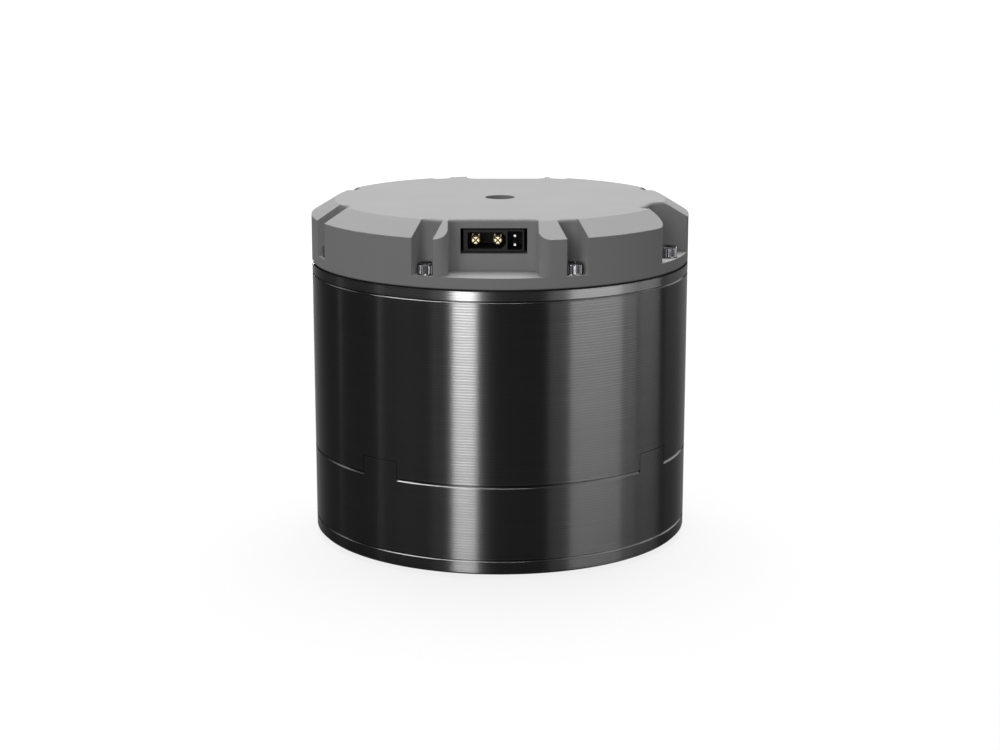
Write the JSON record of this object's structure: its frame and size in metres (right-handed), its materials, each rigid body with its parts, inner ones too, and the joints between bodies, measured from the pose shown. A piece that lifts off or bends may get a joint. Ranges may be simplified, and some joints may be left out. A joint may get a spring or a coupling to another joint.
{
  "type": "robot joint actuator",
  "caption": "Round hollow-shaft robot joint actuator with a planetary gearbox, an inner-rotor motor, a servo drive and connector recesses in the rear cover.",
  "frame": {"origin": "centre of the output face", "axes": "+Z along the shaft from the output face to the rear cover; -Y is the side of the main connector"},
  "size_m": [0.089, 0.089, 0.08],
  "materials": {
    "black_anodised": "black anodised, fine circular turning lines",
    "cover_grey": "bead-blasted, grey anodised",
    "output_aluminium": "fine turned, clear anodised",
    "screw_black": "black oxide",
    "connector_plastic": "moulded, fine grain",
    "gold_contact": "gold plated",
    "tin_contact": "tin plated",
    "seal_rubber": "moulded rubber",
    "gear_steel": "hobbed and hardened",
    "carrier_steel": "milled",
    "bearing_steel": "ground",
    "bronze": "plain bronze",
    "brass_standoff": "turned brass",
    "lamination": "stacked sheet, varnished",
    "copper": "enamelled copper",
    "magnet_nickel": "nickel plated",
    "bonded_magnet": "bonded ferrite",
    "board_green": "solder mask",
    "chip_black": "moulded",
    "capacitor_can": "drawn can",
    "thermal_pad": "soft pad"
  },
  "bodies": {
    "housing": {"bearing_clamp_ring": "black_anodised", "board_capacitors": "capacitor_can", "board_chips": "chip_black", "board_screws": "screw_black", "board_standoffs": "brass_standoff", "clamp_ring_screws": "screw_black", "cover_gasket": "seal_rubber", "driver_board": "board_green", "gearbox_housing": "black_anodised", "gearbox_screws": "screw_black", "link_connector": "connector_plastic", "main_connector": "connector_plastic", "motor_housing": "black_anodised", "motor_rear_plate": "black_anodised", "output_bearing_outer_ring": "bearing_steel", "output_seal": "seal_rubber", "phase_terminals": "copper", "power_pins": "gold_contact", "rear_cover": "cover_grey", "rear_cover_screws": "screw_black", "rotor_front_bearing_outer_ring": "bearing_steel", "rotor_preload_spring": "carrier_steel", "rotor_rear_bearing_outer_ring": "bearing_steel", "rotor_shaft_seal": "seal_rubber", "signal_pins": "tin_contact", "stage1_ring_gear": "gear_steel", "stage2_ring_gear": "gear_steel", "stator_coils": "copper", "stator_core": "lamination", "thermal_pads": "thermal_pad"},
    "output": {"output_flange": "output_aluminium", "output_carrier_plate": "carrier_steel", "carrier_screws": "screw_black", "stage2_planet_pins": "bearing_steel", "stage2_planet_bushes": "bronze", "output_bearing_inner_ring": "bearing_steel", "bearing_lock_nut": "carrier_steel", "hollow_tube": "output_aluminium", "output_encoder_magnet": "bonded_magnet"},
    "output_rollers": {"output_bearing_rollers": "bearing_steel", "output_bearing_cage": "bronze"},
    "first_stage_carrier": {"stage1_carrier": "carrier_steel", "stage2_sun_gear": "gear_steel", "stage1_planet_pins": "bearing_steel", "stage1_planet_bushes": "bronze", "interstage_washer": "bronze"},
    "rotor": {"rotor_shaft": "gear_steel", "rotor_hub": "lamination", "rotor_magnets": "magnet_nickel", "motor_encoder_magnet": "bonded_magnet", "rotor_front_bearing_inner_ring": "bearing_steel", "rotor_rear_bearing_inner_ring": "bearing_steel"},
    "rotor_balls": {"rotor_bearing_balls": "bearing_steel", "rotor_bearing_cages": "bronze"},
    "stage2_planet_1": {"stage2_planet_1": "gear_steel"},
    "stage2_planet_2": {"stage2_planet_2": "gear_steel"},
    "stage2_planet_3": {"stage2_planet_3": "gear_steel"},
    "stage1_planet_1": {"stage1_planet_1": "gear_steel"},
    "stage1_planet_2": {"stage1_planet_2": "gear_steel"},
    "stage1_planet_3": {"stage1_planet_3": "gear_steel"}
  },
  "joints": [
    {"name": "output_spin", "type": "hinge", "parent": "housing", "child": "output", "pos_m": [0, 0, 0.008], "axis": [0, 0, 1], "continuous": true},
    {"name": "output_rollers_spin", "type": "hinge", "parent": "housing", "child": "output_rollers", "pos_m": [0, 0, 0.008], "axis": [0, 0, 1], "continuous": true},
    {"name": "first_stage_carrier_spin", "type": "hinge", "parent": "housing", "child": "first_stage_carrier", "pos_m": [0, 0, 0.029], "axis": [0, 0, 1], "continuous": true},
    {"name": "rotor_spin", "type": "hinge", "parent": "housing", "child": "rotor", "pos_m": [0, 0, 0.051], "axis": [0, 0, 1], "continuous": true},
    {"name": "rotor_balls_spin", "type": "hinge", "parent": "housing", "child": "rotor_balls", "pos_m": [0, 0, 0.051], "axis": [0, 0, 1], "continuous": true},
    {"name": "stage2_planet_1_spin", "type": "hinge", "parent": "output", "child": "stage2_planet_1", "pos_m": [0.0216, 0, 0.0194], "axis": [0, 0, 1], "continuous": true},
    {"name": "stage2_planet_2_spin", "type": "hinge", "parent": "output", "child": "stage2_planet_2", "pos_m": [-0.0108, 0.01871, 0.0194], "axis": [0, 0, 1], "continuous": true},
    {"name": "stage2_planet_3_spin", "type": "hinge", "parent": "output", "child": "stage2_planet_3", "pos_m": [-0.0108, -0.01871, 0.0194], "axis": [0, 0, 1], "continuous": true},
    {"name": "stage1_planet_1_spin", "type": "hinge", "parent": "first_stage_carrier", "child": "stage1_planet_1", "pos_m": [0.021, 0, 0.0334], "axis": [0, 0, 1], "continuous": true},
    {"name": "stage1_planet_2_spin", "type": "hinge", "parent": "first_stage_carrier", "child": "stage1_planet_2", "pos_m": [-0.0105, 0.01819, 0.0334], "axis": [0, 0, 1], "continuous": true},
    {"name": "stage1_planet_3_spin", "type": "hinge", "parent": "first_stage_carrier", "child": "stage1_planet_3", "pos_m": [-0.0105, -0.01819, 0.0334], "axis": [0, 0, 1], "continuous": true}
  ],
  "couplings": [
    {"joint": "output_rollers_spin", "follows": "output_spin", "ratio": 0.47941},
    {"joint": "first_stage_carrier_spin", "follows": "output_spin", "ratio": 6.8571},
    {"joint": "rotor_spin", "follows": "output_spin", "ratio": 48},
    {"joint": "rotor_balls_spin", "follows": "output_spin", "ratio": 22.08},
    {"joint": "stage2_planet_1_spin", "follows": "output_spin", "ratio": -2.4118},
    {"joint": "stage2_planet_2_spin", "follows": "output_spin", "ratio": -2.4118},
    {"joint": "stage2_planet_3_spin", "follows": "output_spin", "ratio": -2.4118},
    {"joint": "stage1_planet_1_spin", "follows": "output_spin", "ratio": -16.457},
    {"joint": "stage1_planet_2_spin", "follows": "output_spin", "ratio": -16.457},
    {"joint": "stage1_planet_3_spin", "follows": "output_spin", "ratio": -16.457}
  ]
}
